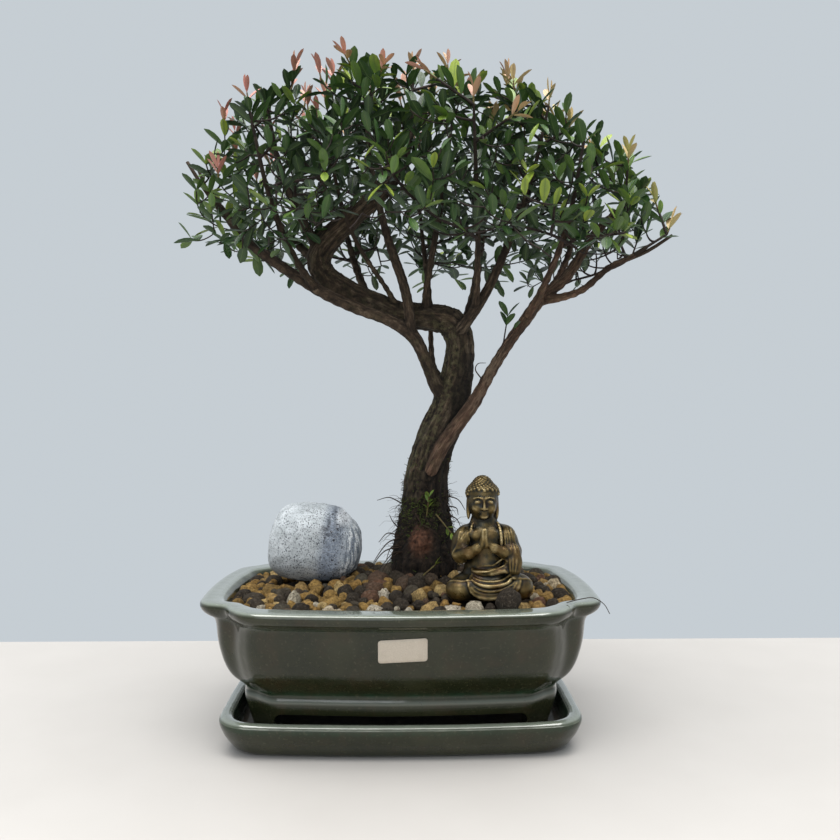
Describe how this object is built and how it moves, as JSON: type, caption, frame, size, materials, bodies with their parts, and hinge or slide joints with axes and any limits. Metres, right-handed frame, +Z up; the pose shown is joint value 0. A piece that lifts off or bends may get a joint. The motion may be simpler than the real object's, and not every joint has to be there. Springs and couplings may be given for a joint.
{
  "type": "brush cherry bonsai",
  "caption": "Small-leaved broadleaf bonsai with a bent trunk and a wide domed crown, in a glazed pot on a drip tray, with a stone and a seated figure on the pebbles.",
  "frame": {"origin": "middle of the drip tray's flat underside", "axes": "+Z up along the trunk, +X to the right along the pot's length, -Y towards the front with the label"},
  "size_m": [0.2848, 0.1813, 0.3863],
  "materials": {
    "glaze": "gloss",
    "soil": "matte",
    "stone": "matte",
    "bronze_resin": "satin",
    "bark": "matte",
    "leaf_green": "satin",
    "leaf_young": "satin",
    "label_paper": "matte"
  },
  "bodies": {
    "root": {"drip_tray": "glaze", "leafy_spray_01": "leaf_green", "leafy_spray_02": "leaf_green", "leafy_spray_03": "leaf_green", "leafy_spray_04": "leaf_green", "leafy_spray_05": "leaf_green", "leafy_spray_06": "leaf_green", "leafy_spray_07": "leaf_green", "leafy_spray_08": "leaf_green", "leafy_spray_09": "leaf_green", "leafy_spray_10": "leaf_green", "leafy_spray_11": "leaf_green", "leafy_spray_12": "leaf_green", "leafy_spray_13": "leaf_green", "leafy_spray_14": "leaf_green", "leafy_spray_15": "leaf_green", "leafy_spray_16": "leaf_green", "leafy_spray_17": "leaf_green", "leafy_spray_18": "leaf_green", "leafy_spray_19": "leaf_green", "leafy_spray_20": "leaf_green", "leafy_spray_21": "leaf_green", "leafy_spray_22": "leaf_green", "leafy_spray_23": "leaf_green", "leafy_spray_24": "leaf_green", "leafy_spray_25": "leaf_green", "leafy_spray_26": "leaf_green", "leafy_spray_27": "leaf_green", "leafy_spray_28": "leaf_green", "leafy_spray_29": "leaf_green", "leafy_spray_30": "leaf_green", "leafy_spray_31": "leaf_green", "leafy_spray_32": "leaf_green", "leafy_spray_33": "leaf_green", "leafy_spray_34": "leaf_green", "leafy_spray_35": "leaf_green", "leafy_spray_36": "leaf_green", "leafy_spray_37": "leaf_green", "leafy_spray_38": "leaf_green", "marbled_stone": "stone", "pot": "glaze", "pot_label": "label_paper", "seated_figure": "bronze_resin", "soil_and_pebbles": "soil", "trunk_and_limbs": "bark", "young_tip_01": "leaf_young", "young_tip_02": "leaf_young", "young_tip_03": "leaf_young", "young_tip_04": "leaf_young", "young_tip_05": "leaf_young", "young_tip_06": "leaf_young", "young_tip_07": "leaf_young", "young_tip_08": "leaf_young", "young_tip_09": "leaf_young", "young_tip_10": "leaf_young", "young_tip_11": "leaf_young", "young_tip_12": "leaf_young", "young_tip_13": "leaf_young", "young_tip_14": "leaf_young"}
  },
  "joints": []
}
